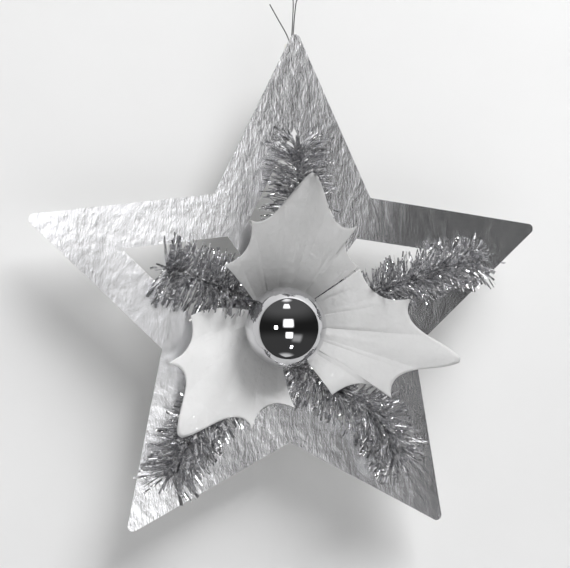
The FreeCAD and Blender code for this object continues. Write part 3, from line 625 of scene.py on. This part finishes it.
def embossedFoilBoard():
    # Metallised polyester laminated on pale board and rolled with a leather-like grain, then die cut: mirror
    # bright but broken into small upright dimples in front, plain board at the back and edges, whose fibres
    # are coarser here than real ones so that they show.
    material, tree, shader = newMaterial("embossedFoilBoard")
    facing = addNode(tree, "SeparateXYZ", inputs={
        "Vector": addNode(tree, "TexCoord").outputs["Normal"]}).outputs["Y"]
    front = addNode(tree, "Math", {"operation": "LESS_THAN"}, {0: facing, 1: -0.5}).outputs[0]
    grain = addNode(tree, "TexNoise", inputs={"Vector": objectPattern(tree, (1.7, 1.7, 4.8)), "Scale": 1.0,
                                              "Detail": 2.0, "Roughness": 0.5, "Distortion": 0.3})
    blotch = addNode(tree, "TexNoise", inputs={"Vector": objectPattern(tree, (7, 7, 9)), "Scale": 1.0,
                                               "Detail": 1.0})
    warp = addNode(tree, "TexNoise", inputs={"Vector": objectPattern(tree, (120, 120, 150)), "Scale": 1.0,
                                             "Detail": 1.0})
    fibre = addNode(tree, "TexNoise", inputs={"Vector": objectPattern(tree, (1.4, 1.4, 0.5)), "Scale": 1.0,
                                              "Detail": 4.0})
    board = addNode(tree, "MixRGB", inputs={
        0: fibre.outputs["Fac"], 1: hexColour("#BDBDBB"), 2: hexColour("#DEDEDC")})
    colour = addNode(tree, "MixRGB", inputs={0: front, 1: board.outputs[0], 2: hexColour("#F6F6F8")})
    rough = addNode(tree, "MapRange", inputs={"Value": front, "To Min": 0.85, "To Max": 0.27})
    bent = addNode(tree, "Bump", inputs={"Height": warp.outputs["Fac"], "Strength": 1.0, "Distance": 0.004})
    uneven = addNode(tree, "Bump", inputs={"Height": blotch.outputs["Fac"], "Strength": 1.0,
                                           "Distance": 0.0002, "Normal": bent.outputs[0]})
    dimpled = addNode(tree, "Bump", inputs={"Height": grain.outputs["Fac"], "Strength": 1.0,
                                            "Distance": 0.0001, "Normal": uneven.outputs[0]})
    setInputs(tree, shader, {"Base Color": colour.outputs[0], "Metallic": front,
                             "Roughness": rough.outputs[0], "Normal": dimpled.outputs[0]})
    return material


def hotMelt():
    # Hot-melt glue squeezed from a gun: milky, waxy and a little see-through, with a smooth skin.
    material, tree, shader = newMaterial("hotMelt")
    cloud = addNode(tree, "TexNoise", inputs={"Vector": objectPattern(tree, (4, 4, 4)), "Scale": 1.0})
    colour = addNode(tree, "MixRGB", inputs={
        0: cloud.outputs["Fac"], 1: hexColour("#D6D4CE"), 2: hexColour("#EEECE6")})
    bump = addNode(tree, "Bump", inputs={"Height": cloud.outputs["Fac"], "Strength": 0.4, "Distance": 0.001})
    setInputs(tree, shader, {
        "Base Color": colour.outputs[0], "Roughness": 0.3, "Normal": bump.outputs[0],
        "Subsurface Weight": 0.4, "Subsurface Radius": (1, 1, 1), "Subsurface Scale": 0.003})
    return material


def pressedAluminium():
    # Thin aluminium drawn into a cap: bright with a faint satin from the tool, coarser here than a real one.
    material, tree, shader = newMaterial("pressedAluminium")
    satin = addNode(tree, "TexNoise", inputs={"Vector": objectPattern(tree, (0.6, 3, 0.6)), "Scale": 1.0})
    rough = addNode(tree, "MapRange", inputs={"Value": satin.outputs["Fac"], "To Min": 0.2, "To Max": 0.4})
    setInputs(tree, shader, {"Base Color": hexColour("#D8D8DA"), "Metallic": 1.0,
                             "Roughness": rough.outputs[0]})
    return material


def finish(node, material):
    nodes[node].data.materials.clear()
    nodes[node].data.materials.append(material)


finish("star_card", embossedFoilBoard())
glueMaterial = hotMelt()
for gluedNode in ("hub_glue_front", "hub_glue_back", "thread_glue"):
    finish(gluedNode, glueMaterial)
finish("bauble_cap", pressedAluminium())
finish("bauble_hanger", drawnWire("hangerWire", "#C0C0C2"))
print("finishes given")


# Stage: a pale wall close behind the star, seen from its front only, and a pale floor far below

stageValues = {"wallDepth": 42, "floorDrop": -900, "half": 2500,
               "wall": "#E2E2E2", "floor": "#E4E4E4", "palest": "#EEEEEE"}


def stagePaint(name, values, oneSided):
    # Matt wall paint rolled on plaster: flat and very slightly uneven. A one-sided sheet is clear from
    # behind.
    material, tree, shader = newMaterial(name + "Paint")
    uneven = addNode(tree, "TexNoise", inputs={"Vector": objectPattern(tree, (260, 260, 260)), "Scale": 1.0,
                                               "Detail": 2.0})
    colour = addNode(tree, "MixRGB", inputs={
        0: uneven.outputs["Fac"], 1: hexColour(values[name]), 2: hexColour(values["palest"])})
    setInputs(tree, shader, {"Base Color": colour.outputs[0], "Roughness": 0.9, "Specular IOR Level": 0.1})
    if oneSided:
        clear = addNode(tree, "BsdfTransparent")
        back = addNode(tree, "NewGeometry").outputs["Backfacing"]
        mixed = addNode(tree, "MixShader", inputs={0: back, 1: shader.outputs[0], 2: clear.outputs[0]})
        tree.links.new(mixed.outputs[0], tree.nodes["Material Output"].inputs["Surface"])
    return material


def makeSheet(name, corners, material):
    mesh = bpy.data.meshes.new(name)
    mesh.from_pydata((np.array(corners) * mm).tolist(), [], [(0, 1, 2, 3)])
    mesh.materials.append(material)
    piece = bpy.data.objects.new(name, mesh)
    scene.collection.objects.link(piece)
    return piece


half, wallDepth, floorDrop = (stageValues[key] for key in ("half", "wallDepth", "floorDrop"))
wallCorners = [(-half, wallDepth, floorDrop), (half, wallDepth, floorDrop), (half, wallDepth, half),
               (-half, wallDepth, half)]
floorCorners = [(-half, -half, floorDrop), (half, -half, floorDrop), (half, half, floorDrop),
                (-half, half, floorDrop)]
makeSheet("wall", wallCorners, stagePaint("wall", stageValues, True))
floor = makeSheet("floor", floorCorners, stagePaint("floor", stageValues, False))
floor.visible_glossy = False   # mirrors show the lower part of the room instead
print("stage made")


# Light: a large soft lamp high on the right, a weak one on the left, and a room that shows in mirrors only

lampAim = (0, 0, -250)
lampValues = {"key": {"at": (720, -1320, 1620), "size": 1250, "power": 67},
              "fill": {"at": (-900, -500, -200), "size": 800, "power": 0.8}}


def makeLamp(name, values, aim):
    data = bpy.data.lights.new(name, "AREA")
    data.shape = "SQUARE"
    data.size = values["size"] * mm
    data.energy = values["power"]
    lamp = bpy.data.objects.new(name, data)
    scene.collection.objects.link(lamp)
    place = Vector(values["at"]) * mm
    lamp.location = place
    lamp.rotation_euler = (Vector(aim) * mm - place).to_track_quat("-Z", "Y").to_euler()
    lamp.visible_glossy = False   # mirrors show the room's bright places instead


for lampName, lamp in lampValues.items():
    makeLamp(lampName, lamp, lampAim)

roomValues = {
    # what matt surfaces get from all round, what is seen past the wall, and the mirrors' darkest tone
    "diffuse": 0.17, "backdrop": 0.85, "dark": 0.018,
    # glow above and below: strength, and the elevations in radians where it starts and is full
    "upper": 0.1, "upperFrom": 0.15, "upperTo": 0.9, "lower": 0.04, "lowerFrom": -0.05, "lowerTo": -0.5,
    # bright places: left, right, bottom and top edge in degrees, softness of the edge, strength
    "bright": [
        (-19, 8, 4, 24, 4, 3.2),         # in front, a little above
        (-26, 6, 58, 70, 4, 2.6),        # in front, high up
        (-178, -118, -60, 60, 8, 1.0),   # behind on the left
        (8, 15, -57, -50, 2, 40),        # small and strong, low down
        (-44, -37, -2, 5, 2, 40),        # small and strong, on the left
        (-12, 7, -27, -12, 3, 4.0),      # in front, a little below
        (8, 36, -36, -18, 6, 0.4),       # beside that, dim
        (122, 178, -60, 60, 8, 0.8),     # behind on the right
        (-70, 70, 80, 95, 5, 1.2),       # overhead
        (-70, 70, -95, -76, 6, 0.7),     # underfoot
    ],
}


def makeRoom(values):
    # Directions are turned to an azimuth from straight ahead of the star, atan2(x, -y), and an elevation,
    # asin(z). Each bright place is a soft-edged rectangle in those two.
    world = bpy.data.worlds.new("room")
    scene.world = world
    world.use_nodes = True
    tree = world.node_tree
    ways = addNode(tree, "SeparateXYZ", inputs={"Vector": addNode(tree, "TexCoord").outputs["Generated"]})
    front = addNode(tree, "Math", {"operation": "MULTIPLY"}, {0: ways.outputs["Y"], 1: -1.0})
    azimuth = addNode(tree, "Math", {"operation": "ARCTAN2"}, {
        0: ways.outputs["X"], 1: front.outputs[0]}).outputs[0]
    elevation = addNode(tree, "Math", {"operation": "ARCSINE"}, {0: ways.outputs["Z"]}).outputs[0]

    def within(value, low, high, soft):
        low, high, soft = (math.radians(degrees) for degrees in (low, high, soft))
        offset = addNode(tree, "Math", {"operation": "SUBTRACT"}, {0: value, 1: (low + high) / 2})
        away = addNode(tree, "Math", {"operation": "ABSOLUTE"}, {0: offset.outputs[0]})
        reach = (high - low) / 2
        return addNode(tree, "MapRange", {"interpolation_type": "SMOOTHSTEP"}, {
            "Value": away.outputs[0], "From Min": reach - soft, "From Max": reach + soft,
            "To Min": 1.0, "To Max": 0.0}).outputs[0]

    upward = addNode(tree, "MapRange", {"interpolation_type": "SMOOTHSTEP"}, {
        "Value": elevation, "From Min": values["upperFrom"], "From Max": values["upperTo"],
        "To Min": 0.0, "To Max": values["upper"]})
    downward = addNode(tree, "MapRange", {"interpolation_type": "SMOOTHSTEP"}, {
        "Value": elevation, "From Min": values["lowerTo"], "From Max": values["lowerFrom"],
        "To Min": values["lower"], "To Max": 0.0})
    glow = addNode(tree, "Math", {"operation": "ADD"}, {0: upward.outputs[0], 1: downward.outputs[0]})
    light = addNode(tree, "Math", {"operation": "ADD"}, {0: glow.outputs[0], 1: values["dark"]})
    for left, right, bottom, top, soft, strength in values["bright"]:
        wide = within(azimuth, left, right, soft)
        high = within(elevation, bottom, top, soft)
        both = addNode(tree, "Math", {"operation": "MULTIPLY"}, {0: wide, 1: high})
        light = addNode(tree, "Math", {"operation": "MULTIPLY_ADD"}, {
            0: both.outputs[0], 1: strength, 2: light.outputs[0]})
    path = addNode(tree, "LightPath")
    seen = addNode(tree, "Math", {"operation": "ADD", "use_clamp": True}, {
        0: path.outputs["Is Camera Ray"], 1: path.outputs["Is Transmission Ray"]})
    plain = addNode(tree, "MixRGB", inputs={
        0: seen.outputs[0], 1: (values["diffuse"],) * 3 + (1,), 2: (values["backdrop"],) * 3 + (1,)})
    colour = addNode(tree, "MixRGB", inputs={
        0: path.outputs["Is Glossy Ray"], 1: plain.outputs[0], 2: light.outputs[0]})
    tree.links.new(colour.outputs[0], tree.nodes["Background"].inputs["Color"])


makeRoom(roomValues)
print("light made")
